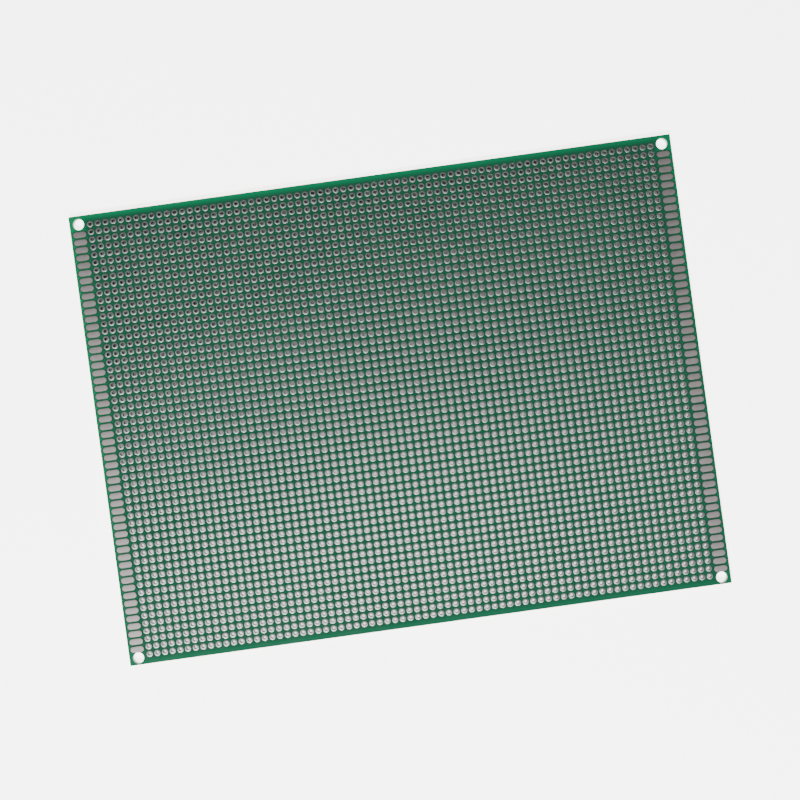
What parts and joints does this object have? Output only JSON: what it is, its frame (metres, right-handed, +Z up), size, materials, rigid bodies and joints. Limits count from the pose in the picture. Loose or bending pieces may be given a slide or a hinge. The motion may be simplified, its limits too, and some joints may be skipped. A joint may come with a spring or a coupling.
{
  "type": "prototype board",
  "caption": "Flat rectangular green prototype board with a grid of plated through holes, long pads along its short edges and a mounting hole in each corner.",
  "frame": {"origin": "middle of the board's underside", "axes": "+X along the rows of holes, the long way of the board; +Y towards its upper edge; +Z up through its thickness, out of the face with the long edge pads"},
  "size_m": [0.199, 0.1484, 0.0016],
  "materials": {
    "solder_mask": "satin",
    "tinned_copper": "satin"
  },
  "bodies": {
    "root": {"board": "solder_mask", "edge_pads_left": "tinned_copper", "edge_pads_right": "tinned_copper", "plated_holes_01": "tinned_copper", "plated_holes_02": "tinned_copper", "plated_holes_03": "tinned_copper", "plated_holes_04": "tinned_copper", "plated_holes_05": "tinned_copper", "plated_holes_06": "tinned_copper", "plated_holes_07": "tinned_copper", "plated_holes_08": "tinned_copper", "plated_holes_09": "tinned_copper", "plated_holes_10": "tinned_copper", "plated_holes_11": "tinned_copper", "plated_holes_12": "tinned_copper", "plated_holes_13": "tinned_copper", "plated_holes_14": "tinned_copper", "plated_holes_15": "tinned_copper", "plated_holes_16": "tinned_copper", "plated_holes_17": "tinned_copper", "plated_holes_18": "tinned_copper", "plated_holes_19": "tinned_copper"}
  },
  "joints": []
}
